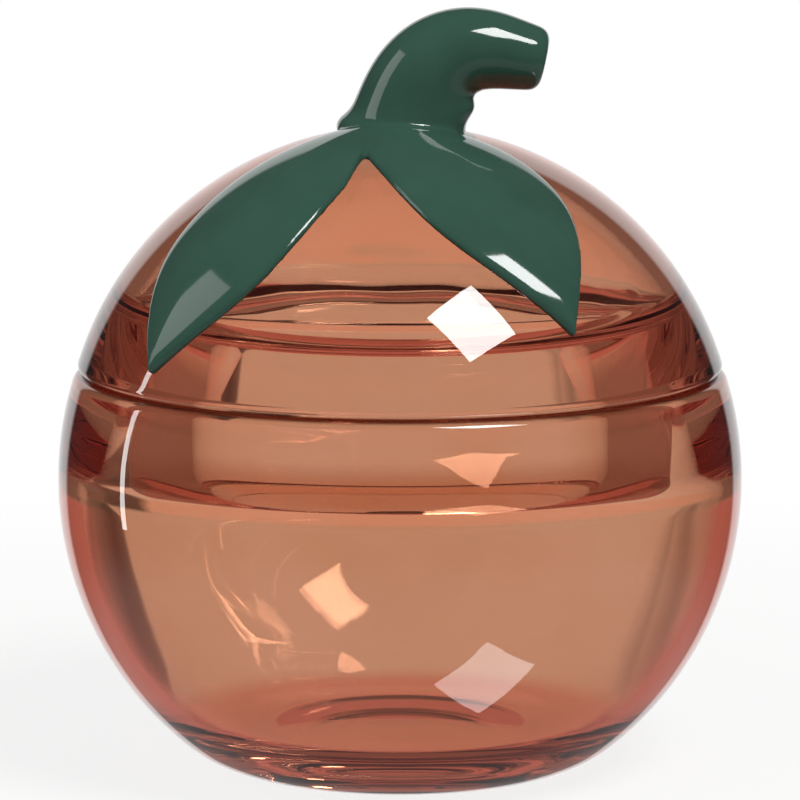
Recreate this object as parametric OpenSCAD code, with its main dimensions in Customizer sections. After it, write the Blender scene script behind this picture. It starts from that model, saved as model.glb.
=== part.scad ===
// Round glass storage jar in the shape of an orange: a bowl, a lift-off domed lid
// whose collar drops into the mouth, and a hooked stem with two leaves as the grip.
// Millimetres, +Z up. The origin is the centre of the foot, on the table.

/* [Bowl] */
// Outside diameter of the bowl at its widest
bowl_d = 120; // [100:1:144]
// Height of the rim that the lid rests on
bowl_h = 70; // [62:1:84]
// How much the flat base takes off the bottom of the ball
base_cut = 9.2; // [7:0.1:11]
// Rounding between the side and the flat base, outside
foot_corner = 21.5; // [17:0.5:24]
// Glass thickness of the side
bowl_wall = 3.8; // [3:0.1:5]
// Glass thickness of the base
base_t = 7.5; // [6:0.1:9]
// Rounding between the side and the floor, inside
floor_corner = 20; // [16:0.5:22]
// Width of the ring that the bowl stands on
foot_ring_w = 4; // [3:0.1:6]
// Height of the hollow under the base
punt_h = 2.5; // [1.5:0.1:3.5]
// Width of the thick rim, from its outside to the mouth
rim_w = 8.8; // [7:0.1:11]
// Slope that the thick rim thins out with, inside, in degrees from upright
lip_slope = 28; // [24:1:32]
// Rounding between that slope and the side, inside
lip_fillet = 12; // [8:0.5:16]
// Rounding of the outer edge of the rim
rim_outer_edge = 2; // [1:0.1:3]
// Rounding of the inner edge of the rim
rim_inner_edge = 1.2; // [0.6:0.1:2]

/* [Lid] */
// Height of the dome above the rim
dome_h = 42.8; // [35:0.1:52]
// Glass thickness of the dome
dome_wall = 4.1; // [3:0.1:5]
// Rounding of the lower outer edge of the dome
lid_edge = 1.4; // [0.8:0.1:2.5]
// Glass thickness of the flange that rests on the rim
flange_t = 7.8; // [6.5:0.1:8.5]
// Rounding between the flange and the dome, inside
flange_corner = 4; // [3:0.1:5]
// How far the collar hangs below the rim
collar_drop = 16; // [13:0.1:19]
// Glass thickness of the collar
collar_t = 11; // [8:0.1:13.5]
// Gap all round between the collar and the mouth
collar_gap = 0.95; // [0.5:0.05:1.5]
// Fillet in the corner between the collar and the flange
collar_fillet = 0.7; // [0.4:0.1:1]
// Rounding of the upper edge of the collar, inside the lid
throat_edge = 5.5; // [3:0.1:6.5]

/* [Stem] */
// Length of the stem along its middle
stem_len = 33.6; // [28:0.1:41]
// Diameter of the stem just above its foot
stem_base_d = 21.8; // [18.5:0.1:26]
// Diameter of the stem at its end
stem_end_d = 10.8; // [9:0.1:13]
// Depth of the stem from front to back, as a share of its width
stem_depth = 0.95; // [0.85:0.01:1]
// Lean of the stem where it leaves the dome, in degrees from upright
stem_lean = 14; // [8:1:18]
// Direction of the stem at its end, in degrees from upright
stem_end_turn = 102; // [90:1:108]
// Length of straight stem below the bend
stem_rise = 3.6; // [2:0.1:5]
// Length of the bend along the middle of the stem
bend_len = 24; // [20:0.5:28]
// Rounding round the end face of the stem
stem_end_edge = 2.4; // [1.5:0.1:3]
// Extra radius of the stem where it spreads onto the dome
foot_flare = 1.6; // [0.5:0.1:2.5]
// Height over which the foot spreads
foot_flare_h = 3.4; // [2:0.1:5]

/* [Leaves] */
// Greatest width of the left leaf
left_leaf_w = 29.6; // [24:0.1:36]
// Width of the left leaf at its root, beside the stem
left_root_w = 10.6; // [8:0.1:14]
// Where the left leaf is widest, as a share of its length from the root
left_widest = 0.58; // [0.45:0.01:0.65]
// Fullness of the left leaf towards its tip: lower is blunter
left_point = 0.88; // [0.7:0.01:1.1]
// Sideways bend of the left leaf's middle line at its root
left_root_bend = -2; // [-4:0.1:0]
// Sideways bend of the left leaf's middle line half way along
left_mid_bend = 0.8; // [-1:0.1:2]
// Distance from the tip of the left leaf to the lid's edge, along the dome
left_tip_gap = 4.4; // [3:0.1:14]
// Direction of the tip of the left leaf, in degrees round the lid
left_tip_turn = 220.7; // [216:0.1:230]
// Greatest width of the right leaf
right_leaf_w = 30.2; // [25:0.1:37]
// Width of the right leaf at its root, beside the stem
right_root_w = 14.5; // [10:0.1:18]
// Where the right leaf is widest, as a share of its length from the root
right_widest = 0.46; // [0.35:0.01:0.55]
// Fullness of the right leaf towards its tip: lower is blunter
right_point = 1; // [0.8:0.01:1.2]
// Sideways bend of the right leaf's middle line at its root
right_root_bend = -2.4; // [-4:0.1:0]
// Sideways bend of the right leaf's middle line half way along
right_mid_bend = 0; // [-1:0.1:1]
// Distance from the tip of the right leaf to the lid's edge, along the dome
right_tip_gap = 12.6; // [8:0.1:20]
// Direction of the tip of the right leaf, in degrees round the lid
right_tip_turn = 304.1; // [296:0.1:308]
// Height of the leaves above the dome at their edges
leaf_edge_h = 1.3; // [0.8:0.1:2]
// Extra height of the leaves along their middle ridge
leaf_ridge_h = 0.9; // [0.4:0.1:1.4]
// Direction of the notch where the two leaves part, in degrees round the lid
notch_turn = 250.4; // [246:0.1:254]
// Gap under the stem and the leaves, where they are bonded to the dome
bond_gap = 0.08; // [0.06:0.01:0.15]

/* [Hidden] */

$fn = 120;
amber = "#C8825C";
green = "#3C5E50";

// The bowl is a ball, cut flat at the foot and at the rim
bowl_r = bowl_d / 2;
ball_z = bowl_r - base_cut;
rim_r = sqrt(bowl_r ^ 2 - (bowl_h - ball_z) ^ 2);
mouth_r = rim_r - rim_w;
foot_r = corner_centre(bowl_r, ball_z, foot_corner, foot_corner);
punt_r = foot_r - foot_ring_w;
punt_ball_r = (punt_r ^ 2 + punt_h ^ 2) / (2 * punt_h);

// Inside, the rim thins out down a slope that starts on the rounding of its inner edge, and
// a hollow runs the slope into the side. Each bites into the next by a hair, so that no
// ledge is left
bite = 0.02;
side_r = bowl_r - bowl_wall;
rim_edge = [mouth_r + rim_inner_edge, bowl_h - rim_inner_edge];
lip_way = [sin(lip_slope), -cos(lip_slope)];
lip_in = [-cos(lip_slope), -sin(lip_slope)];
lip_top = rim_edge + (rim_inner_edge - bite) * lip_in;
hollow_start = lip_top + lip_fillet * lip_in - [0, ball_z];
hollow_back = hollow_start * lip_way;
hollow_far = side_r - lip_fillet;
hollow_run = sqrt(hollow_back ^ 2 - hollow_start * hollow_start + hollow_far ^ 2) - hollow_back;
hollow = [0, ball_z] + hollow_start + hollow_run * lip_way;
hollow_side_z = ball_z + (hollow.y - ball_z) * side_r / hollow_far;
lip_low = lip_top + hollow_run * lip_way;
mouth_z = hollow.y - lip_fillet / 2;

// The dome is a cap of a ball that meets the rim flush
dome_r = (rim_r ^ 2 + dome_h ^ 2) / (2 * dome_h);
dome_z = bowl_h + dome_h - dome_r;
collar_r = mouth_r - collar_gap;
throat_r = collar_r - collar_t;
flange_top = bowl_h + flange_t;

// Length along the dome from its top to the lid's edge
dome_arc = dome_r * acos((bowl_h - dome_z) / dome_r) * PI / 180;

// Stem: rings of points along a bent centre line, from just inside the dome
stem_step = 1;
stem_sides = 32;
stem_root_x = 1;
stem_root_drop = 1.7;
stem_root_z = bowl_h + dome_h - stem_root_drop;
stem_sunk = 5;
end_edge_step = 30;

// Clearance of the leaves round the foot of the stem and at the notch between them
foot_clear = 0.1;

// Leaves: where they start on the unrolled dome, as [radius, direction]
left_root = [9, 250.6];
right_root = [6.4, 263.7];
leaf_rings = 26;
leaf_top_points = 16;
leaf_under_points = 9;
leaf_roundness = 3;

// Leaves thin towards the tip, late and to this share of their height, and stop just short of a point
leaf_thinning = 6;
leaf_tip_h = 0.45;
leaf_end = 0.994;

// The bend at a leaf's root dies away by this power along it
root_bend_fall = 4;

// Side of the block that trims the leaves at the notch
trim_block = 300;

// Distance from the axis to the middle of a rounding of radius f, whose middle is at
// height z, inside a ball of radius r at height zc
function corner_centre(r, zc, f, z) = sqrt((r - f) ^ 2 - (z - zc) ^ 2);

// Height at which that rounding runs into the ball
function corner_touch(r, zc, f, z) = zc + (z - zc) * r / (r - f);

// Half section of a ball from height z0 up, with the edge at z0 rounded by f
module cap_section(r, zc, z0, f) {
  x = corner_centre(r, zc, f, z0 + f);
  touch = corner_touch(r, zc, f, z0 + f);
  intersection() {
    translate([0, zc])
      circle(r);
    translate([0, touch])
      square([r, 2 * r]);
  }
  translate([0, z0])
    square([x, 2 * f]);
  translate([x, z0 + f])
    circle(f);
}

// What lies outside a rounding of radius f in the upper left corner at [x, z]
module corner_waste(x, z, f) {
  translate([x, z - f])
    difference() {
      square(f);
      translate([f, 0])
        circle(f);
    }
}

// Half section of the whole ball below the rim, solid
module bowl_outside() {
  x = corner_centre(bowl_r, ball_z, rim_outer_edge, bowl_h - rim_outer_edge);
  touch = corner_touch(bowl_r, ball_z, rim_outer_edge, bowl_h - rim_outer_edge);
  intersection() {
    cap_section(bowl_r, ball_z, 0, foot_corner);
    square([bowl_d, touch]);
  }
  translate([0, bowl_h - 2 * rim_outer_edge])
    square([x, 2 * rim_outer_edge]);
  translate([x, bowl_h - rim_outer_edge])
    circle(rim_outer_edge);
}

// Half section of the space inside the bowl, drawn in at the mouth by the thick rim
module bowl_inside() {
  intersection() {
    cap_section(side_r, ball_z, base_t, floor_corner);
    square([bowl_d, hollow_side_z]);
  }
  translate(hollow)
    circle(lip_fillet + bite);
  difference() {
    polygon([
      [0, mouth_z],
      [lip_low.x, mouth_z],
      lip_low,
      lip_top,
      rim_edge,
      [rim_edge.x, 2 * bowl_h],
      [0, 2 * bowl_h]
    ]);
    translate(rim_edge)
      circle(rim_inner_edge);
  }
}

module jar_bowl() {
  color(amber)
    rotate_extrude()
      difference() {
        bowl_outside();
        bowl_inside();
        intersection() {
          translate([0, punt_h - punt_ball_r])
            circle(punt_ball_r);
          square([foot_r, base_t]);
        }
      }
}

// Half section of the collar: a ring with a fully rounded lower end
module collar_section() {
  end_r = collar_t / 2;
  end_z = bowl_h - collar_drop + end_r;
  translate([throat_r, end_z])
    square([collar_t, flange_top - end_z]);
  translate([throat_r + end_r, end_z])
    circle(end_r);
}

module lid_dome() {
  color(amber)
    rotate_extrude()
      difference() {
        union() {
          cap_section(dome_r, dome_z, bowl_h, lid_edge);
          collar_section();
          corner_waste(collar_r, bowl_h, collar_fillet);
        }
        cap_section(dome_r - dome_wall, dome_z, flange_top, flange_corner);
        translate([0, bowl_h - collar_drop])
          square([throat_r, flange_top - bowl_h + collar_drop]);
        corner_waste(throat_r, flange_top, throat_edge);
      }
}

// Closed skin over a row of rings with the same number of points each
module skin(rings) {
  m = len(rings[0]);
  last = len(rings) - 1;
  points = [for (ring = rings) each ring, middle(rings[0]), middle(rings[last])];
  first_end = m * (last + 1);
  faces = [
    for (i = [0 : last - 1], j = [0 : m - 1])
      let (a = i * m + j, b = i * m + (j + 1) % m)
        each [[a, a + m, b + m], [a, b + m, b]],
    for (j = [0 : m - 1])
      let (k = (j + 1) % m)
        each [[first_end, j, k], [first_end + 1, last * m + k, last * m + j]]
  ];
  polyhedron(points, faces);
}

function middle(ring) = [for (axis = [0 : 2]) sum([for (p = ring) p[axis]]) / len(ring)];

function sum(list, i = 0) = i < len(list) ? list[i] + sum(list, i + 1) : 0;

// Smooth step from 0 to 1
function ease(t) =
  let (u = min(1, max(0, t)))
    u * u * (3 - 2 * u);

// Direction of the stem at a length s along it, in degrees from upright
function stem_turn(s) = stem_lean + (stem_end_turn - stem_lean) * ease((s - stem_rise) / bend_len);

function stem_way(s) = [sin(stem_turn(s)), 0, cos(stem_turn(s))];

// Middle of the stem at a length s along it, summed in short steps
function stem_middle(s, at = 0, p = [stem_root_x, 0, stem_root_z]) =
  s <= at + stem_step
    ? p + (s - at) * stem_way((s + at) / 2)
    : stem_middle(s, at + stem_step, p + stem_step * stem_way(at + stem_step / 2));

// Radius of the stem, spread at its foot
function stem_r(s) =
  stem_base_d / 2
  + (stem_end_d - stem_base_d) / 2 * max(0, s) / stem_len
  + foot_flare * max(0, 1 - s / foot_flare_h) ^ 2;

function stem_ring(s, r) =
  let (c = stem_middle(s), turn = stem_turn(s))
    [for (k = [0 : stem_sides - 1])
      let (a = 360 * k / stem_sides)
        c + r * [cos(turn) * cos(a), stem_depth * sin(a), -sin(turn) * cos(a)]];

// The bent stem, grown by a clearance where other pieces are cut to fit round it
module stem_form(grow = 0) {
  body_len = stem_len - stem_end_edge;
  foot_s = -stem_sunk;
  steps = ceil(body_len / stem_step);
  skin([
    stem_ring(foot_s, stem_r(0) + grow),
    for (i = [0 : steps])
      stem_ring(body_len * i / steps, stem_r(body_len * i / steps) + grow),
    for (a = [end_edge_step : end_edge_step : 90])
      stem_ring(body_len + stem_end_edge * sin(a),
        stem_r(body_len) - stem_end_edge * (1 - cos(a)) + grow)
  ]);
}

module stem() {
  color(green)
    difference() {
      stem_form();
      translate([0, 0, dome_z])
        sphere(dome_r + bond_gap);
    }
}

// Point on the dome, lifted by h, of a point drawn on the dome unrolled flat about its top
function on_dome(p, h) =
  let (far = norm(p), turn = far / dome_r * 180 / PI, r = dome_r + bond_gap + h)
    [r * sin(turn) * p.x / far, r * sin(turn) * p.y / far, dome_z + r * cos(turn)];

function polar(r, a) = r * [cos(a), sin(a)];

// Share of a leaf's half width at t from its root to its tip
function leaf_width(t, root, widest, point) =
  t < widest
    ? root + (1 - root) * sin(90 * t / widest)
    : cos(90 * (t - widest) / (1 - widest)) ^ point;

// Height of a leaf at v across it, from -1 to 1: rounded edges and a soft middle ridge
function leaf_height(v) =
  leaf_edge_h * max(0, 1 - abs(v) ^ leaf_roundness) ^ (1 / leaf_roundness)
  + leaf_ridge_h * (1 - abs(v));

// Closed section of a leaf at t: over the top from one edge to the other, and back underneath
function leaf_ring(t, from, to, half_w, sway) =
  let (
    along = (to - from) / norm(to - from),
    across = [-along.y, along.x],
    c = from + (to - from) * t + across * sway,
    thin = leaf_tip_h + (1 - leaf_tip_h) * sqrt(1 - t ^ leaf_thinning)
  )
    [
      for (k = [0 : leaf_top_points])
        let (v = cos(180 * k / leaf_top_points))
          on_dome(c + across * half_w * v, thin * leaf_height(v)),
      for (k = [1 : leaf_under_points - 1])
        let (v = 2 * k / leaf_under_points - 1)
          on_dome(c + across * half_w * v, 0)
    ];

// One leaf: tip is its [gap to the lid's edge, direction], bend moves its middle line sideways
// at the root and half way, and side is the side of the notch that it keeps to
module leaf(root, tip, w, root_w, widest, point, bend, side) {
  from = polar(root[0], root[1]);
  to = polar(dome_arc - tip[0], tip[1]);
  color(green)
    difference() {
      skin([
        for (i = [0 : leaf_rings])
          let (
            t = leaf_end * i / leaf_rings,
            half_w = w / 2 * leaf_width(t, root_w / w, widest, point),
            sway = bend[0] * (1 - t) ^ root_bend_fall + bend[1] * sin(180 * t)
          )
            leaf_ring(t, from, to, half_w, sway)
      ]);
      rotate(notch_turn)
        translate([-trim_block / 2, side * (trim_block - foot_clear) / 2 - trim_block / 2, 0])
          cube(trim_block);
      stem_form(foot_clear);
    }
}

module leaf_left() {
  leaf(left_root, [left_tip_gap, left_tip_turn], left_leaf_w, left_root_w,
    left_widest, left_point, [left_root_bend, left_mid_bend], 1);
}

module leaf_right() {
  leaf(right_root, [right_tip_gap, right_tip_turn], right_leaf_w, right_root_w,
    right_widest, right_point, [right_root_bend, right_mid_bend], -1);
}

jar_bowl();
lid_dome();
stem();
leaf_left();
leaf_right();
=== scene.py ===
import math

import bpy
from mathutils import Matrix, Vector


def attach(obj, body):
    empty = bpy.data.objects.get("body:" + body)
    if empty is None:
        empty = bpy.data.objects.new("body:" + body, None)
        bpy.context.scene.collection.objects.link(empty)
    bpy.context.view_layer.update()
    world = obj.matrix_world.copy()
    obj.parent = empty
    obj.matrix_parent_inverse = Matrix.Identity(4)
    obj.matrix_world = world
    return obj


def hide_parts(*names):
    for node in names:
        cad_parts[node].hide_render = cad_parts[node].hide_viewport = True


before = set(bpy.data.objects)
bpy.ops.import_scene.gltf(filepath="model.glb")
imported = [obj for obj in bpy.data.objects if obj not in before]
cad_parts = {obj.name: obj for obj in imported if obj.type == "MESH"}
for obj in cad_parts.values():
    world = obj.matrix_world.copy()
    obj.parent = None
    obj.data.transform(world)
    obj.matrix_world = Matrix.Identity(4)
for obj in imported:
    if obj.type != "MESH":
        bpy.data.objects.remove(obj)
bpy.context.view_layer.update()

mm = 0.001
scene = bpy.context.scene
scene.view_settings.view_transform = "Standard"
scene.cycles.max_bounces = 64  # the wall guides some light round to the foot
scene.cycles.transmission_bounces = 32
scene.cycles.glossy_bounces = 64


def linear(hexColour):  # sRGB hex to the linear colour that shaders take
    parts = [int(hexColour[i:i + 2], 16) / 255 for i in (1, 3, 5)]
    return [c / 12.92 if c <= 0.04045 else ((c + 0.055) / 1.055) ** 2.4 for c in parts] + [1]


def addNode(tree, kind, inputs=None, **settings):  # a socket among the inputs is linked, anything else is set
    node = tree.nodes.new("ShaderNode" + kind)
    for name, value in settings.items():
        setattr(node, name, value)
    for name, value in (inputs or {}).items():
        if isinstance(value, bpy.types.NodeSocket):
            tree.links.new(value, node.inputs[name])
        else:
            node.inputs[name].default_value = value
    return node


def newMaterial(name):
    material = bpy.data.materials.new(name)
    material.use_nodes = True
    material.node_tree.nodes.clear()
    return material, material.node_tree


def ramp(value, low, high):  # smooth step from 0 at low to 1 at high, which may be the lesser
    t = min(1, max(0, (value - low) / (high - low)))
    return t * t * (3 - 2 * t)


def arc(x, z, radius, start, end, step=1.0, least=7):  # points along an arc in the half section, in mm and degrees
    count = max(least, math.ceil(abs(math.radians(end - start)) * radius / step))
    angles = [math.radians(start + (end - start) * i / count) for i in range(count + 1)]
    return [(x + radius * math.cos(a), z + radius * math.sin(a)) for a in angles]


def straight(x0, z0, x1, z1, step=1.0, least=2):
    count = max(least, math.ceil(math.hypot(x1 - x0, z1 - z0) / step))
    return [(x0 + (x1 - x0) * i / count, z0 + (z1 - z0) * i / count) for i in range(count + 1)]


def angleTo(x, z):
    return math.degrees(math.atan2(z, x))


# Lathe, in mm: points closer than shortest are left out, and the seam is welded
lathe = {"shortest": 0.01, "weld": 0.001}


def turnOnLathe(name, profile, steps):  # half section drawn by extruding a point, then spun about Z
    path = [profile[0]] + [b for a, b in zip(profile, profile[1:]) if math.dist(a, b) > lathe["shortest"]]
    bpy.ops.object.select_all(action="DESELECT")
    bpy.ops.mesh.primitive_plane_add(size=mm)
    piece = bpy.context.object
    piece.name = piece.data.name = name
    bpy.ops.object.mode_set(mode="EDIT")
    bpy.ops.mesh.merge(type="CENTER")
    bpy.ops.transform.translate(value=(path[0][0] * mm, 0, path[0][1] * mm))
    for (x0, z0), (x1, z1) in zip(path, path[1:]):
        bpy.ops.mesh.extrude_region_move(
            TRANSFORM_OT_translate={"value": ((x1 - x0) * mm, 0, (z1 - z0) * mm)})
    bpy.ops.mesh.select_all(action="SELECT")
    bpy.ops.mesh.spin(steps=steps, angle=2 * math.pi, center=(0, 0, 0), axis=(0, 0, 1))
    bpy.ops.mesh.select_all(action="SELECT")
    bpy.ops.mesh.remove_doubles(threshold=lathe["weld"] * mm)
    bpy.ops.mesh.normals_make_consistent(inside=False)
    bpy.ops.object.mode_set(mode="OBJECT")
    bpy.ops.object.shade_smooth()
    return piece


def inMm(v):  # a vertex's distance from the axis, y and z
    return math.hypot(v.co.x, v.co.y) / mm, v.co.y / mm, v.co.z / mm


def blownWaves(piece, name, wave, weight):  # uneven glass, as much as weight(r, y, z) says
    group = piece.vertex_groups.new(name=name)
    for v in piece.data.vertices:
        share = weight(*inMm(v))
        if share > 0:
            group.add([v.index], min(1, share), "REPLACE")
    clouds = bpy.data.textures.new(name, "CLOUDS")
    clouds.noise_scale = wave["size"] * mm
    clouds.noise_depth = 1
    modifier = piece.modifiers.new(name, "DISPLACE")
    modifier.texture = clouds
    modifier.texture_coords = "LOCAL"
    modifier.vertex_group = name
    modifier.strength = wave["height"] * mm
    modifier.mid_level = 0.5
    bpy.context.view_layer.objects.active = piece
    bpy.ops.object.modifier_apply(modifier=name)
    piece.vertex_groups.clear()


def paint(piece, name, share):  # 1 where the glass has the coat of that name, 0 where it is bare
    coat = piece.data.attributes.new(name, "FLOAT", "POINT")
    for v in piece.data.vertices:
        coat.data[v.index].value = share(*inMm(v))


# Light guided in the wall meets the lustre at each bounce, so it gets darker and redder by the tone each time.
# Over the depths from and to, the bounces that count go up from few to most
wallLight = {"from": 12.0, "to": 20.0, "tone": (0.87, 0.68, 0.66), "anyBounce": 0.5}


def bounceTone(tree, depth, few, most):
    limit = addNode(tree, "MapRange", {
        "Value": depth, "From Min": wallLight["from"], "From Max": wallLight["to"], "To Min": few, "To Max": most})
    count = addNode(tree, "Math", {0: depth, 1: limit.outputs["Result"]}, operation="MINIMUM")
    powers = [addNode(tree, "Math", {0: c, 1: count.outputs["Value"]}, operation="POWER") for c in wallLight["tone"]]
    return addNode(tree, "CombineXYZ", {i: power.outputs["Value"] for i, power in enumerate(powers)}).outputs["Vector"]


# Clear soda-lime glass, blown and fire polished, sprayed with an orange lustre on the outside only:
# the colour is even however thick the glass is, and deepens where light crosses the lustre again
# paintedSeamShade is painted shade: the dark colour of the seam between lid and bowl
glassLook = {"ior": 1.5, "lustre": "#C08059", "paintedSeamShade": "#3A1006", "bare": "#FFFDFB", "body": "#E79500", "density": 2,
             "cloud": 30, "cloudDepth": 0.12, "wave": 14, "waveHeight": 0.025, "waveFoot": (14, 30)}


def makeAmberGlass(look):
    material, tree = newMaterial("amberBlownGlass")
    place = addNode(tree, "TexCoord").outputs["Object"]
    waves = addNode(tree, "TexNoise", {"Vector": place, "Scale": 1 / (look["wave"] * mm), "Detail": 1.0})
    parts = addNode(tree, "SeparateXYZ", {0: place})
    aboveFoot = addNode(tree, "MapRange", {
        "Value": parts.outputs["Z"], "From Min": look["waveFoot"][0] * mm, "From Max": look["waveFoot"][1] * mm})
    height = addNode(tree, "Math", {0: waves.outputs["Fac"], 1: aboveFoot.outputs["Result"]}, operation="MULTIPLY")
    bump = addNode(tree, "Bump", {
        "Height": height.outputs["Value"], "Strength": 1.0, "Distance": look["waveHeight"] * mm})
    coat = addNode(tree, "Attribute", attribute_name="lustre")
    clouds = addNode(tree, "TexNoise", {"Vector": place, "Scale": 1 / (look["cloud"] * mm), "Detail": 2.0})
    uneven = addNode(tree, "MapRange", {
        "Value": clouds.outputs["Fac"], "To Min": 1 - look["cloudDepth"], "To Max": 1.0})
    sprayed = addNode(tree, "Math", {0: coat.outputs["Fac"], 1: uneven.outputs["Result"]}, operation="MULTIPLY")
    colour = addNode(tree, "Mix", data_type="RGBA", inputs={
        "Factor": sprayed.outputs["Value"], 6: linear(look["bare"]), 7: linear(look["lustre"])})
    # painted shade: where lid and bowl meet, the colour darkens to the painted seam shade
    seamShadeMask = addNode(tree, "Attribute", attribute_name="paintedSeamShade")
    seamShaded = addNode(tree, "Mix", data_type="RGBA", inputs={
        "Factor": seamShadeMask.outputs["Fac"], 6: colour.outputs[2], 7: linear(look["paintedSeamShade"])})
    shader = addNode(tree, "BsdfPrincipled", {
        "Base Color": seamShaded.outputs[2], "Roughness": 0.0, "IOR": look["ior"],
        "Transmission Weight": 1.0, "Normal": bump.outputs["Normal"]})
    tint = addNode(tree, "VolumeAbsorption", {"Color": linear(look["body"]), "Density": look["density"]})
    addNode(tree, "OutputMaterial", {"Surface": shader.outputs["BSDF"], "Volume": tint.outputs["Volume"]})
    return material


# Opaque green enamel fired on the raised glass: deep, even and glossy
enamelLook = {"deep": "#304E43", "light": "#3C5C4F", "patch": 9, "roughness": 0.07, "ior": 1.5}


def makeGreenEnamel(look):
    material, tree = newMaterial("greenEnamel")
    place = addNode(tree, "TexCoord").outputs["Object"]
    patches = addNode(tree, "TexNoise", {"Vector": place, "Scale": 1 / (look["patch"] * mm), "Detail": 3.0})
    colour = addNode(tree, "Mix", data_type="RGBA", inputs={
        "Factor": patches.outputs["Fac"], 6: linear(look["deep"]), 7: linear(look["light"])})
    shader = addNode(tree, "BsdfPrincipled", {
        "Base Color": colour.outputs[2], "Roughness": look["roughness"], "IOR": look["ior"]})
    addNode(tree, "OutputMaterial", {"Surface": shader.outputs["BSDF"]})
    return material


amberGlass = makeAmberGlass(glassLook)
greenEnamel = makeGreenEnamel(enamelLook)
print("materials made")

# Bowl, in mm
bowl = {"ballR": 60, "ballZ": 50.8, "wall": 3.8, "floorZ": 7.5, "footCorner": 21.5, "floorCorner": 20,
        "footRing": 2.5, "puntH": 2.5, "rimZ": 69.95, "rimW": 8.8, "rimOuter": 2, "rimInner": 1.2,
        "lipSlope": 28, "lipFillet": 12, "steps": 240,
        "grain": {"corner": 0.6, "rimOuter": 0.25, "rim": 0.6, "rimInner": 0.2, "lip": 0.6},
        "wave": {"size": 40, "height": 0.06, "limit": 56.8, "edge": (57.5, 56.5), "foot": (8, 14)},
        "coatR": 57.4, "coatZ": 5, "seamShadeZ": (69.3, 69.8), "seamShadeR": (50, 51)}


def makeBowl(b):
    grain = b["grain"]
    footR = math.sqrt((b["ballR"] - b["footCorner"]) ** 2 - (b["footCorner"] - b["ballZ"]) ** 2)
    footTurn = angleTo(footR, b["footCorner"] - b["ballZ"])
    rimEdgeZ = b["rimZ"] - b["rimOuter"]
    rimEdgeX = math.sqrt((b["ballR"] - b["rimOuter"]) ** 2 - (rimEdgeZ - b["ballZ"]) ** 2)
    rimTurn = angleTo(rimEdgeX, rimEdgeZ - b["ballZ"])
    rimR = math.sqrt(b["ballR"] ** 2 - (b["rimZ"] - b["ballZ"]) ** 2)
    insideR = b["ballR"] - b["wall"]
    cornerZ = b["floorZ"] + b["floorCorner"]
    floorX = math.sqrt((insideR - b["floorCorner"]) ** 2 - (cornerZ - b["ballZ"]) ** 2)
    floorTurn = angleTo(floorX, cornerZ - b["ballZ"])
    puntR = footR - b["footRing"]
    puntBall = (puntR ** 2 + b["puntH"] ** 2) / (2 * b["puntH"])
    puntTurn = angleTo(puntR, puntBall - b["puntH"])
    # the thick rim thins out in a slope, which runs into the wall in a hollow of radius lipFillet
    slope = math.radians(b["lipSlope"])
    edgeX, edgeZ = rimR - b["rimW"] + b["rimInner"], b["rimZ"] - b["rimInner"]
    reach = b["rimInner"] + b["lipFillet"]
    fromX, fromZ = edgeX - reach * math.cos(slope), edgeZ - reach * math.sin(slope) - b["ballZ"]
    back = fromX * math.sin(slope) - fromZ * math.cos(slope)
    run = math.sqrt(back ** 2 - fromX ** 2 - fromZ ** 2 + (insideR - b["lipFillet"]) ** 2) - back
    hollowX, hollowZ = fromX + run * math.sin(slope), fromZ - run * math.cos(slope) + b["ballZ"]
    wallTurn = angleTo(hollowX, hollowZ - b["ballZ"])
    slopeEnd = hollowX + b["lipFillet"] * math.cos(slope), hollowZ + b["lipFillet"] * math.sin(slope)
    profile = arc(0, b["puntH"] - puntBall, puntBall, 90, puntTurn)
    profile += straight(puntR, 0, footR, 0)
    profile += arc(footR, b["footCorner"], b["footCorner"], -90, footTurn, grain["corner"])
    profile += arc(0, b["ballZ"], b["ballR"], footTurn, rimTurn)
    profile += arc(rimEdgeX, rimEdgeZ, b["rimOuter"], rimTurn, 90, grain["rimOuter"])
    profile += straight(rimEdgeX, b["rimZ"], edgeX, b["rimZ"], grain["rim"])
    profile += arc(edgeX, edgeZ, b["rimInner"], 90, 180 + b["lipSlope"], grain["rimInner"])
    profile += straight(*profile[-1], *slopeEnd)
    profile += arc(hollowX, hollowZ, b["lipFillet"], b["lipSlope"], wallTurn, grain["lip"])
    profile += arc(0, b["ballZ"], insideR, wallTurn, floorTurn)
    profile += arc(floorX, cornerZ, b["floorCorner"], floorTurn, -90, grain["corner"])
    profile += straight(floorX, b["floorZ"], 0, b["floorZ"])
    return turnOnLathe("glassBowl", profile, b["steps"])


def bowlWave(r, y, z):
    wave = bowl["wave"]
    return ramp(r, *wave["edge"]) * ramp(z, *wave["foot"]) if r < wave["limit"] else 0


def bowlCoat(r, y, z):
    return float(math.hypot(r, z - bowl["ballZ"]) > bowl["coatR"] or z < bowl["coatZ"])


def bowlSeamShade(r, y, z):  # painted shade: the contact faces in the seam are coloured dark, for the dark line along the gap
    return ramp(z, *bowl["seamShadeZ"]) * ramp(r, *bowl["seamShadeR"])


glassBowl = makeBowl(bowl)
blownWaves(glassBowl, "unevenWall", bowl["wave"], bowlWave)
paint(glassBowl, "lustre", bowlCoat)
paint(glassBowl, "paintedSeamShade", bowlSeamShade)
glassBowl.data.materials.append(amberGlass)
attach(glassBowl, "jar")
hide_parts("jar_bowl")
print("bowl turned", len(glassBowl.data.polygons), "faces")

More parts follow.
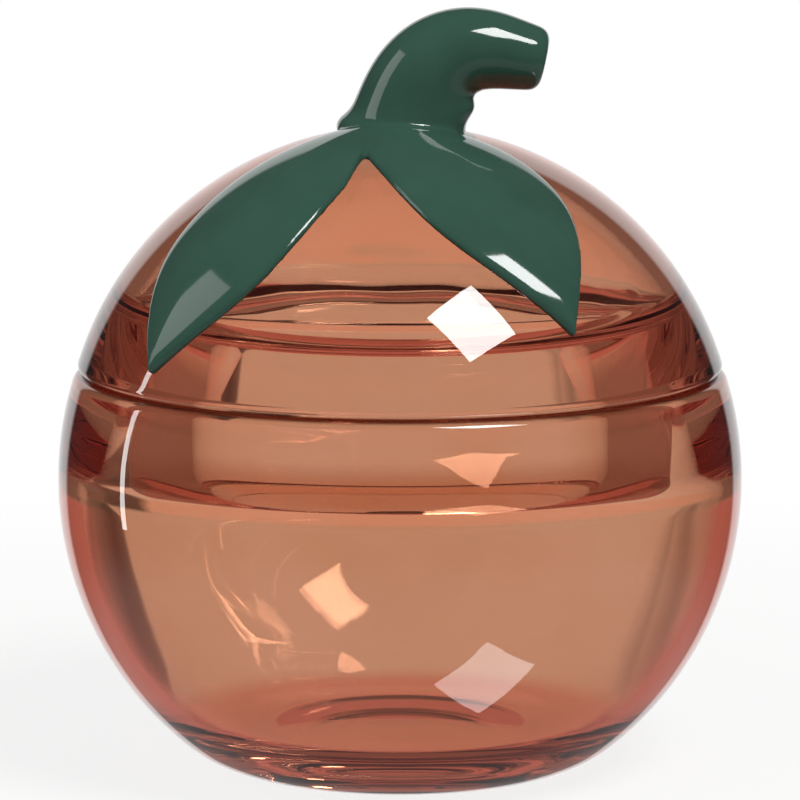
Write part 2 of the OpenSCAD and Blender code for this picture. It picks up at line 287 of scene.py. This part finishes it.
# Lid, in mm
lid = {"domeR": 59.155, "domeZ": 53.645, "wall": 4.1, "rimZ": 70, "edge": 1.4, "flangeTop": 77.8, "corner": 4,
       "collarR": 47.095, "throatR": 36.095, "collarEndZ": 54, "fillet": 0.7, "throatEdge": 2.5, "steps": 240,
       "grain": {"edge": 0.2, "flat": 0.6, "fillet": 0.15, "side": 0.8, "end": 0.6, "corner": 0.5}, "innerR": 57,
       "cornerWave": {"size": 12, "height": 1.4, "back": (-10, 25), "out": (42, 45), "flange": (76.5, 77.5),
                      "top": (90, 81)},
       "domeWave": {"size": 30, "height": 0.3, "rise": (76, 84)},
       "coatR": 57.5, "coatZ": 69.9, "seamShadeZ": (70.8, 70.3), "seamShadeR": (50, 51),
       "run": {"share": 0.7, "top": (62.5, 58), "lessAtEnd": 0.6, "end": (56.5, 54), "front": (15, -15)}}


def makeLid(d):
    grain = d["grain"]
    edgeZ = d["rimZ"] + d["edge"]
    edgeX = math.sqrt((d["domeR"] - d["edge"]) ** 2 - (edgeZ - d["domeZ"]) ** 2)
    edgeTurn = angleTo(edgeX, edgeZ - d["domeZ"])
    insideR = d["domeR"] - d["wall"]
    cornerZ = d["flangeTop"] + d["corner"]
    cornerX = math.sqrt((insideR - d["corner"]) ** 2 - (cornerZ - d["domeZ"]) ** 2)
    cornerTurn = angleTo(cornerX, cornerZ - d["domeZ"])
    endR = (d["collarR"] - d["throatR"]) / 2
    endZ = d["collarEndZ"] + endR
    filletX, filletZ = d["collarR"] + d["fillet"], d["rimZ"] - d["fillet"]
    throatX, throatZ = d["throatR"] + d["throatEdge"], d["flangeTop"] - d["throatEdge"]
    profile = arc(0, d["domeZ"], d["domeR"], 90, edgeTurn)
    profile += arc(edgeX, edgeZ, d["edge"], edgeTurn, -90, grain["edge"])
    profile += straight(edgeX, d["rimZ"], filletX, d["rimZ"], grain["flat"])
    profile += arc(filletX, filletZ, d["fillet"], 90, 180, grain["fillet"])
    profile += straight(d["collarR"], filletZ, d["collarR"], endZ, grain["side"])
    profile += arc(d["throatR"] + endR, endZ, endR, 0, -180, grain["end"])
    profile += straight(d["throatR"], endZ, d["throatR"], throatZ, grain["side"])
    profile += arc(throatX, throatZ, d["throatEdge"], 180, 90, grain["corner"])
    profile += straight(throatX, d["flangeTop"], cornerX, d["flangeTop"], grain["flat"])
    profile += arc(cornerX, cornerZ, d["corner"], -90, cornerTurn, grain["corner"])
    profile += arc(0, d["domeZ"], insideR, cornerTurn, 90)
    return turnOnLathe("glassLid", profile, d["steps"])


def isInner(r, z):
    return math.hypot(r, z - lid["domeZ"]) < lid["innerR"]


def cornerWave(r, y, z):
    wave = lid["cornerWave"]
    share = ramp(y, *wave["back"]) * ramp(r, *wave["out"]) * ramp(z, *wave["flange"]) * ramp(z, *wave["top"])
    return share if isInner(r, z) else 0


def domeWave(r, y, z):
    return ramp(z, *lid["domeWave"]["rise"]) if isInner(r, z) else 0


# The lustre on the outside of the dome is real; on the front of the collar's end it is painted shade
def lidLustreAndShade(r, y, z):
    if z > lid["coatZ"]:
        return float(math.hypot(r, z - lid["domeZ"]) > lid["coatR"])
    run = lid["run"]  # painted shade: lustre on the front of the collar's lower end, less at its very end, darkens the band seen through it
    return run["share"] * ramp(z, *run["top"]) * (1 - run["lessAtEnd"] * ramp(z, *run["end"])) * ramp(y, *run["front"])


# painted shade along the seam on the lid, as on the bowl
def lidSeamShade(r, y, z):
    return ramp(z, *lid["seamShadeZ"]) * ramp(r, *lid["seamShadeR"])


glassLid = makeLid(lid)
blownWaves(glassLid, "unevenCorner", lid["cornerWave"], cornerWave)
blownWaves(glassLid, "unevenDome", lid["domeWave"], domeWave)
paint(glassLid, "lustre", lidLustreAndShade)
paint(glassLid, "paintedSeamShade", lidSeamShade)
glassLid.data.materials.append(amberGlass)
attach(glassLid, "lid")
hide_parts("lid_dome")
print("lid turned", len(glassLid.data.polygons), "faces")

# Stem, in mm and degrees: a ring pushed along a bent line, narrower towards its rounded end
stem = {"rootX": 1, "rootZ": 111.1, "length": 33.6, "baseD": 21.8, "endD": 10.8, "lean": 14, "endTurn": 102,
        "rise": 3.6, "bend": 24, "endEdge": 2.4, "endAngles": (22, 45, 68, 90), "endRings": (0.6, 0.25),
        "flare": 1.6, "flareH": 3.4, "sunk": 4, "depth": 0.95, "sides": 32, "step": 1.2}


def stemTurn(s):
    return stem["lean"] + (stem["endTurn"] - stem["lean"]) * ramp(s, stem["rise"], stem["rise"] + stem["bend"])


def stemRadius(s):
    taper = stem["baseD"] / 2 + (stem["endD"] - stem["baseD"]) / 2 * max(0, s) / stem["length"]
    return taper + stem["flare"] * max(0, 1 - max(0, s) / stem["flareH"]) ** 2


def stemWay(s):
    return Vector((math.sin(math.radians(stemTurn(s))), 0, math.cos(math.radians(stemTurn(s)))))


def stemStations():  # (length along the stem, radius) of each ring
    lastS = stem["length"] - stem["endEdge"]
    count = math.ceil(lastS / stem["step"])
    stations = [(-stem["sunk"], stemRadius(0))]
    stations += [(lastS * i / count, stemRadius(lastS * i / count)) for i in range(count + 1)]
    for angle in stem["endAngles"]:
        turn = math.radians(angle)
        stations.append((lastS + stem["endEdge"] * math.sin(turn),
                         stemRadius(lastS) - stem["endEdge"] * (1 - math.cos(turn))))
    return stations + [(stem["length"], stations[-1][1] * share) for share in stem["endRings"]]


def makeStem():
    stations = stemStations()
    middle = Vector((stem["rootX"], 0, stem["rootZ"])) - stem["sunk"] * stemWay(0)
    s, radius = stations[0]
    bpy.ops.object.select_all(action="DESELECT")
    bpy.ops.mesh.primitive_circle_add(vertices=stem["sides"], radius=radius * mm, fill_type="NGON",
                                      location=middle * mm, rotation=(0, math.radians(stemTurn(0)), 0))
    piece = bpy.context.object
    bpy.ops.object.transform_apply(location=True, rotation=True, scale=True)
    bpy.ops.object.mode_set(mode="EDIT")
    bpy.ops.mesh.select_all(action="SELECT")
    for nextS, nextRadius in stations[1:]:
        move = (nextS - s) * stemWay((s + nextS) / 2)
        turn = math.radians(stemTurn(nextS) - stemTurn(s))
        middle = middle + move
        bpy.ops.mesh.extrude_region_move(TRANSFORM_OT_translate={"value": move * mm})
        bpy.ops.transform.rotate(value=-turn, orient_axis="Y", center_override=middle * mm)
        bpy.ops.transform.resize(value=[nextRadius / radius] * 3, center_override=middle * mm)
        s, radius = nextS, nextRadius
    bpy.ops.mesh.select_all(action="SELECT")
    bpy.ops.transform.resize(value=(1, stem["depth"], 1), center_override=(0, 0, 0))
    bpy.ops.mesh.normals_make_consistent(inside=False)
    bpy.ops.object.mode_set(mode="OBJECT")
    modifier = piece.modifiers.new("smooth", "SUBSURF")
    modifier.levels = modifier.render_levels = 1
    bpy.ops.object.modifier_apply(modifier="smooth")
    return piece


# Leaves, in mm and degrees: root and tip on the dome unrolled flat about its top, as (radius, direction).
# The leaves meet along the line towards notch, and reach over it by overlap
leaves = {
    "left": {"root": (9, 250.6), "tip": (71.5, 220.7), "width": 29.6, "rootW": 10.6, "widest": 0.58, "point": 0.88,
             "bend": (-2, 0.8), "side": -1},
    "right": {"root": (6.4, 263.7), "tip": (63.3, 304.1), "width": 30.2, "rootW": 14.5, "widest": 0.46, "point": 1,
              "bend": (-2.4, 0), "side": 1},
    "edgeH": 1.3, "edgeRound": 3, "ridgeH": 0.9, "tipThin": 0.45, "tipRound": 6, "tipCut": 0.996, "rootBend": 4,
    "sunk": 0.8, "notch": 250.4, "overlap": 0.3, "rows": 60, "columns": 32}


def polar(radius, direction):
    return Vector((radius * math.cos(math.radians(direction)), radius * math.sin(math.radians(direction))))


def onDome(x, y, height):  # a point of the unrolled dome, lifted by height
    far = math.hypot(x, y)
    turn = far / lid["domeR"]
    r = lid["domeR"] + height
    return Vector((r * math.sin(turn) * x / far, r * math.sin(turn) * y / far, lid["domeZ"] + r * math.cos(turn))) * mm


def leafShare(leaf, t):  # width at t of the way from root to tip, as a share of the full width
    if t < leaf["widest"]:
        rootShare = leaf["rootW"] / leaf["width"]
        return rootShare + (1 - rootShare) * math.sin(math.pi / 2 * t / leaf["widest"])
    return math.cos(math.pi / 2 * (t - leaf["widest"]) / (1 - leaf["widest"])) ** leaf["point"]


def leafHeight(t, u):
    thin = leaves["tipThin"] + (1 - leaves["tipThin"]) * math.sqrt(1 - t ** leaves["tipRound"])
    rounded = max(0, 1 - abs(u) ** leaves["edgeRound"]) ** (1 / leaves["edgeRound"])
    return thin * (leaves["edgeH"] * rounded + leaves["ridgeH"] * (1 - abs(u)))


def makeLeaf(leaf):
    start, end = polar(*leaf["root"]), polar(*leaf["tip"])
    along = (end - start).normalized()
    across = Vector((-along.y, along.x))
    notchWay = polar(1, leaves["notch"])
    bpy.ops.object.select_all(action="DESELECT")
    bpy.ops.mesh.primitive_grid_add(x_subdivisions=leaves["columns"], y_subdivisions=leaves["rows"], size=2)
    piece = bpy.context.object
    under = []
    for v in piece.data.vertices:
        t, u = leaves["tipCut"] * (v.co.y + 1) / 2, math.sin(v.co.x * math.pi / 2)
        sway = leaf["bend"][0] * (1 - t) ** leaves["rootBend"] + leaf["bend"][1] * math.sin(math.pi * t)
        flat = start + (end - start) * t + across * (sway + leaf["width"] / 2 * leafShare(leaf, t) * u)
        v.co = onDome(flat.x, flat.y, leafHeight(t, u))
        under.append(onDome(flat.x, flat.y, -leaves["sunk"]))
    modifier = piece.modifiers.new("thickness", "SOLIDIFY")
    modifier.thickness = leaves["sunk"] * mm
    modifier.offset = -1
    bpy.ops.object.modifier_apply(modifier="thickness")
    for v, place in zip(piece.data.vertices[len(under):], under):  # the second skin lies just inside the dome
        v.co = place
    bpy.ops.object.mode_set(mode="EDIT")
    bpy.ops.mesh.select_all(action="SELECT")
    bpy.ops.mesh.normals_make_consistent(inside=False)
    normal = Vector((-notchWay.y, notchWay.x, 0)) * leaf["side"]
    bpy.ops.mesh.bisect(plane_co=normal * -leaves["overlap"] * mm, plane_no=normal, clear_inner=True, use_fill=True)
    bpy.ops.object.mode_set(mode="OBJECT")
    return piece


# Stem and leaves are one skin of enamel, so they melt into each other; a drip stands out under the hook
fusing = {"voxel": 0.36, "smooth": 8, "dripX": 12, "dripZ": 116.4, "dripH": 2, "dripOut": 1, "dripFrom": 8,
          "dripSides": (9, 1), "dripPast": 2, "pinchZ": 112.6, "pinchIn": 0.4}


def fuseEnamel(pieces, f):
    bpy.ops.object.select_all(action="DESELECT")
    for piece in pieces:
        piece.select_set(True)
    fused = bpy.context.view_layer.objects.active = pieces[0]
    bpy.ops.object.join()
    modifier = fused.modifiers.new("fuse", "REMESH")
    modifier.mode = "VOXEL"
    modifier.voxel_size = f["voxel"] * mm
    bpy.ops.object.modifier_apply(modifier="fuse")
    modifier = fused.modifiers.new("melt", "SMOOTH")
    modifier.iterations = f["smooth"]
    bpy.ops.object.modifier_apply(modifier="melt")
    for v in fused.data.vertices:
        x, y, z = v.co / mm
        if x < f["dripX"] + f["dripPast"]:
            near = ramp(x, f["dripX"] - f["dripFrom"], f["dripX"]) * ramp(abs(y), *f["dripSides"])
            drip = f["dripOut"] * math.exp(-((z - f["dripZ"]) / f["dripH"]) ** 2)
            pinch = f["pinchIn"] * math.exp(-((z - f["pinchZ"]) / f["dripH"]) ** 2)
            v.co.x += near * (drip - pinch) * mm
    fused.data.materials.clear()
    fused.data.materials.append(greenEnamel)
    bpy.ops.object.shade_smooth()
    return fused


enamel = fuseEnamel([makeStem(), makeLeaf(leaves["left"]), makeLeaf(leaves["right"])], fusing)
enamel.name = enamel.data.name = "enamelStemLeaves"
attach(enamel, "lid")
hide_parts("stem", "leaf_left", "leaf_right")
print("stem and leaves made", len(enamel.data.polygons), "faces")

# Floor, in m: a pale round sheet that fades into the white round it
floorLook = {"radius": 0.8, "sides": 96, "z": -0.1 * mm, "paper": "#F4F2EF", "cameraWhite": 0.85, "fade": (0.1, 0.3),
             "farFade": (0.36, 0.5), "bounceFade": (0.28, 0.38), "underJar": (0.035, 0.05),
             "underJarLight": (0.95, 0.62, 0.56, 1), "guidedTableLight": (1, 0.6, 0.66), "guidedBounces": (1.5, 6.0),
             "rear": (0.0, 0.025), "span": 0.15}
# Through the glass it shows painted shadow, the dark outlines of the jar's own shadow behind it, as (mm across the
# outline, brightness)
shadowLines = [
    {"slope": 0.205, "tones": [(-106, 1), (-97, 0.45), (-88, 0.22), (-77, 0.27), (-62, 0.17), (-57, 0.11),
                               (-52, 0.06), (-47, 0.15), (-44, 0.25), (-42, 1)]},
    {"slope": -0.19, "tones": [(36, 1), (40, 0.8), (43, 0.62), (46, 0.77), (50, 0.62), (54, 0.5), (57, 0.5),
                               (66, 0.83), (90, 0.75)]}]


# Pale paper, evenly white to the camera, with painted shadow outlines and painted red light from the jar for rays that
# left the glass
def makePalePaper(look):
    material, tree = newMaterial("palePaper")
    place = addNode(tree, "TexCoord").outputs["Object"]
    ray = addNode(tree, "LightPath")
    throughGlass = ray.outputs["Is Transmission Ray"]
    distance = addNode(tree, "VectorMath", {0: place}, operation="LENGTH").outputs["Value"]
    rings = {}
    for name in ("fade", "farFade", "bounceFade", "underJar"):
        low, high = look[name]
        rings[name] = addNode(tree, "MapRange", {"Value": distance, "From Min": low, "From Max": high},
                              interpolation_type="SMOOTHSTEP").outputs["Result"]
    # painted shadow: each outline darkens the paper by its ramp
    shade = []
    for line in shadowLines:
        across = addNode(tree, "VectorMath", {0: place, 1: (1, line["slope"], 0)}, operation="DOT_PRODUCT")
        along = addNode(tree, "MapRange", {
            "Value": across.outputs["Value"], "From Min": -look["span"], "From Max": look["span"]})
        tone = addNode(tree, "ValToRGB", {"Fac": along.outputs["Result"]})
        stops = tone.color_ramp.elements
        for at, level in line["tones"]:
            stops.new((at * mm + look["span"]) / (2 * look["span"])).color = (level, level, level, 1)
        stops[0].color = stops[1].color
        stops[-1].color = stops[-2].color
        shade.append(tone.outputs["Color"])
    bothShadows = addNode(tree, "Mix", {"Factor": 1.0, 6: shade[0], 7: shade[1]}, data_type="RGBA", blend_type="MULTIPLY")
    spot = addNode(tree, "SeparateXYZ", {0: place})
    rear = addNode(tree, "MapRange", {
        "Value": spot.outputs["Y"], "From Min": look["rear"][0], "From Max": look["rear"][1]})
    paintedShadows = addNode(tree, "Mix", data_type="RGBA", inputs={
        "Factor": rear.outputs["Result"], 6: (1, 1, 1, 1), 7: bothShadows.outputs[2]})
    # painted light: under the jar the paper takes the red of light that came through the glass
    table = addNode(tree, "Mix", data_type="RGBA", inputs={
        "Factor": rings["underJar"], 6: look["underJarLight"], 7: paintedShadows.outputs[2]})
    # painted light: rays that bounced in the wall see the paper in a pink light from the jar, deepened at each bounce
    # by the lustre
    depth = ray.outputs["Glossy Depth"]
    guided = addNode(tree, "VectorMath", operation="MULTIPLY", inputs={
        0: bounceTone(tree, depth, *look["guidedBounces"]), 1: look["guidedTableLight"]})
    bounced = addNode(tree, "Math", {0: depth, 1: wallLight["anyBounce"]}, operation="GREATER_THAN").outputs["Value"]
    below = addNode(tree, "Mix", data_type="RGBA", inputs={
        "Factor": bounced, 6: table.outputs[2], 7: guided.outputs["Vector"]})
    behind = addNode(tree, "Emission", {"Color": below.outputs[2], "Strength": 1.0})
    paper = addNode(tree, "BsdfDiffuse", {"Color": linear(look["paper"])})
    glow = addNode(tree, "Emission", {"Color": (1, 1, 1, 1), "Strength": 1.0})
    white = addNode(tree, "Math", {0: ray.outputs["Is Camera Ray"], 1: look["cameraWhite"]}, operation="MULTIPLY")
    lit = addNode(tree, "MixShader", {0: white.outputs["Value"], 1: paper.outputs["BSDF"], 2: glow.outputs["Emission"]})
    seen = addNode(tree, "MixShader", {0: throughGlass, 1: lit.outputs["Shader"], 2: behind.outputs["Emission"]})
    ends = addNode(tree, "Mix", {0: bounced, 2: rings["farFade"], 3: rings["bounceFade"]})
    gone = addNode(tree, "Mix", {0: throughGlass, 2: rings["fade"], 3: ends.outputs[0]})
    clear = addNode(tree, "BsdfTransparent")
    mixed = addNode(tree, "MixShader", {0: gone.outputs[0], 1: seen.outputs["Shader"], 2: clear.outputs["BSDF"]})
    addNode(tree, "OutputMaterial", {"Surface": mixed.outputs["Shader"]})
    return material


bpy.ops.object.select_all(action="DESELECT")
bpy.ops.mesh.primitive_circle_add(vertices=floorLook["sides"], radius=floorLook["radius"], fill_type="NGON",
                                  location=(0, 0, floorLook["z"]))
floor = bpy.context.object
floor.name = "floor"
floor.data.materials.append(makePalePaper(floorLook))
floor.visible_glossy = False
print("floor laid")

# Studio, in m: azimuth is degrees from the camera's side towards the left, all seen from the middle of the jar
studio = {
    "key": {"azimuth": -37, "elevation": 52.5, "distance": 1.0, "size": (0.34, 0.34), "roll": 108, "radiance": 20},
    "leftPanel": {"azimuth": 78, "elevation": 20, "distance": 1.2, "size": (0.85, 1.0), "radiance": 1.0,
                  "seen": False},
    "leftStrip": {"azimuth": 101, "elevation": 2, "distance": 0.6, "size": (0.026, 0.33), "radiance": 8,
                  "glossOnly": True},
    "tableGlint": {"azimuth": -43, "elevation": -57, "distance": 1.0, "size": (0.34, 0.34), "roll": -20, "radiance": 5,
                   "glossOnly": True},
    "stemPanel": {"azimuth": 82, "elevation": 28, "distance": 1.2, "size": (0.5, 0.8), "radiance": 2.2,
                  "glossOnly": True, "onEnamel": True}}
middle = Vector((0, 0, 0.06))
onEnamel = bpy.data.collections.new("onEnamel")
onEnamel.objects.link(enamel)


def addSoftbox(name, box):
    azimuth, elevation = math.radians(box["azimuth"]), math.radians(box["elevation"])
    way = Vector((-math.sin(azimuth) * math.cos(elevation), -math.cos(azimuth) * math.cos(elevation),
                  math.sin(elevation)))
    lamp = bpy.data.lights.new(name, "AREA")
    lamp.shape = "RECTANGLE"
    lamp.size, lamp.size_y = box["size"]
    lamp.energy = box["radiance"] * math.pi * lamp.size * lamp.size_y
    softbox = bpy.data.objects.new(name, lamp)
    scene.collection.objects.link(softbox)
    softbox.location = middle + way * box["distance"]
    softbox.rotation_euler = way.to_track_quat("Z", "Y").to_euler()
    softbox.rotation_euler.rotate_axis("Z", math.radians(box.get("roll", 0)))
    softbox.visible_camera = False
    softbox.visible_glossy = box.get("seen", True)
    softbox.visible_transmission = box.get("seen", True) and not box.get("glossOnly")
    if box.get("onEnamel"):
        softbox.light_linking.receiver_collection = onEnamel


for name, box in studio.items():
    addSoftbox(name, box)

# World: the backdrop seen through the glass has its tone by height, as (Z of the direction, colour), and on the left a
# painted shadow band that carries the jar's shadow outline on past the floor, as (degrees from straight behind,
# brightness)
worldLook = {
    "backdropY": (0.84, 0.88), "tableZ": (-0.25, -0.45), "tableLevel": 0.3, "glossLeast": 0.05, "soft": 0.22,
    "aheadY": (0.975, 0.995), "belowZ": (-0.10, -0.22), "roomLeast": 0.5, "roomBounces": (3.0, 6.5),
    "backTones": [(-0.15, (1, 1, 1)), (-0.08, (1.2, 1, 0.95)), (0.04, (1.2, 1, 0.95)), (0.1, (1.15, 1.2, 1.25))],
    "toneZ": 0.2, "brightest": 1.25, "shadowBandFrom": 30, "fewCrossings": 4.5,
    "leftShadowBand": [(-17.5, 1), (-16, 0.25), (-11, 0.25), (-9.5, 0.12), (-6.8, 0.15), (-6, 1)]}


def makeWorld(look):
    world = bpy.data.worlds.new("studioWhite")
    world.use_nodes = True
    tree = world.node_tree
    tree.nodes.clear()
    light = addNode(tree, "LightPath")
    way = addNode(tree, "TexCoord").outputs["Generated"]
    parts = addNode(tree, "SeparateXYZ", {0: way})
    zones = {}
    for name in ("backdropY", "tableZ", "aheadY", "belowZ"):
        low, high = look[name]
        zones[name] = addNode(tree, "MapRange", {"Value": parts.outputs[name[-1]], "From Min": low, "From Max": high},
                              interpolation_type="SMOOTHSTEP")
    zones["tableZ"].inputs["To Max"].default_value = look["tableLevel"]
    zones = {name: zone.outputs["Result"] for name, zone in zones.items()}
    # what the outside of the glass and the enamel mirror
    bright = addNode(tree, "Math", {0: zones["backdropY"], 1: zones["tableZ"]}, operation="MAXIMUM")
    seenInGloss = addNode(tree, "MapRange", {
        "Value": bright.outputs["Value"], "To Min": look["glossLeast"], "To Max": 1.0})
    soft = addNode(tree, "Mix", {0: light.outputs["Is Glossy Ray"], 2: look["soft"], 3: seenInGloss.outputs["Result"]})
    # what light guided in the wall comes from
    lightest = addNode(tree, "Math", {0: zones["aheadY"], 1: zones["belowZ"]}, operation="MAXIMUM")
    around = addNode(tree, "MapRange", {
        "Value": lightest.outputs["Value"], "To Min": look["roomLeast"], "To Max": 1.0})
    depth = light.outputs["Glossy Depth"]
    room = addNode(tree, "VectorMath", operation="SCALE", inputs={
        0: bounceTone(tree, depth, *look["roomBounces"]), "Scale": around.outputs["Result"]})
    # what shows straight through the glass
    high = addNode(tree, "MapRange", {
        "Value": parts.outputs["Z"], "From Min": -look["toneZ"], "From Max": look["toneZ"]})
    backTone = addNode(tree, "ValToRGB", {"Fac": high.outputs["Result"]})
    stops = backTone.color_ramp.elements
    for z, colour in look["backTones"]:
        stops.new((z + look["toneZ"]) / (2 * look["toneZ"])).color = [c / look["brightest"] for c in colour] + [1]
    stops[0].color = stops[1].color
    stops[-1].color = stops[-2].color
    # painted shadow: a dark band on the left, seen only through few walls
    side = addNode(tree, "Math", {0: parts.outputs["X"], 1: parts.outputs["Y"]}, operation="ARCTAN2")
    shadowBandPlace = addNode(tree, "MapRange", {
        "Value": side.outputs["Value"], "From Min": math.radians(-look["shadowBandFrom"]), "From Max": 0.0})
    shadowBandTone = addNode(tree, "ValToRGB", {"Fac": shadowBandPlace.outputs["Result"]})
    stops = shadowBandTone.color_ramp.elements
    for azimuth, tone in look["leftShadowBand"]:
        stops.new((azimuth + look["shadowBandFrom"]) / look["shadowBandFrom"]).color = (tone, tone, tone, 1)
    stops[0].color = stops[-1].color = (1, 1, 1, 1)
    twoWalls = addNode(tree, "Math", operation="LESS_THAN", inputs={
        0: light.outputs["Transmission Depth"], 1: look["fewCrossings"]})
    shaded = addNode(tree, "Mix", data_type="RGBA", blend_type="MULTIPLY", inputs={
        "Factor": twoWalls.outputs["Value"], 6: backTone.outputs["Color"], 7: shadowBandTone.outputs["Color"]})
    back = addNode(tree, "VectorMath", {0: shaded.outputs[2], "Scale": look["brightest"]}, operation="SCALE")
    bounced = addNode(tree, "Math", {0: depth, 1: wallLight["anyBounce"]}, operation="GREATER_THAN")
    inGlass = addNode(tree, "Mix", data_type="RGBA", inputs={
        "Factor": bounced.outputs["Value"], 6: back.outputs["Vector"], 7: room.outputs["Vector"]})
    through = addNode(tree, "Mix", data_type="RGBA", inputs={
        "Factor": light.outputs["Is Transmission Ray"], 6: soft.outputs[0], 7: inGlass.outputs[2]})
    level = addNode(tree, "Mix", data_type="RGBA", inputs={
        "Factor": light.outputs["Is Camera Ray"], 6: through.outputs[2], 7: (1, 1, 1, 1)})
    sky = addNode(tree, "Background", {"Color": level.outputs[2], "Strength": 1.0})
    addNode(tree, "OutputWorld", {"Surface": sky.outputs["Background"]})
    return world


scene.world = makeWorld(worldLook)

# Camera at the photograph's angle, in m
photoCamera = {"sensor": 36, "lens": 255.9, "place": (0, -0.985, 0.2236), "aim": (0, 0, 0.0646)}
camera = bpy.data.cameras.new("camera")
camera.sensor_width = photoCamera["sensor"]
camera.lens = photoCamera["lens"]
cameraObject = bpy.data.objects.new("camera", camera)
scene.collection.objects.link(cameraObject)
cameraObject.location = photoCamera["place"]
cameraObject.rotation_euler = (Vector(photoCamera["aim"]) - cameraObject.location).to_track_quat("-Z", "Y").to_euler()
scene.camera = cameraObject
print("studio set")
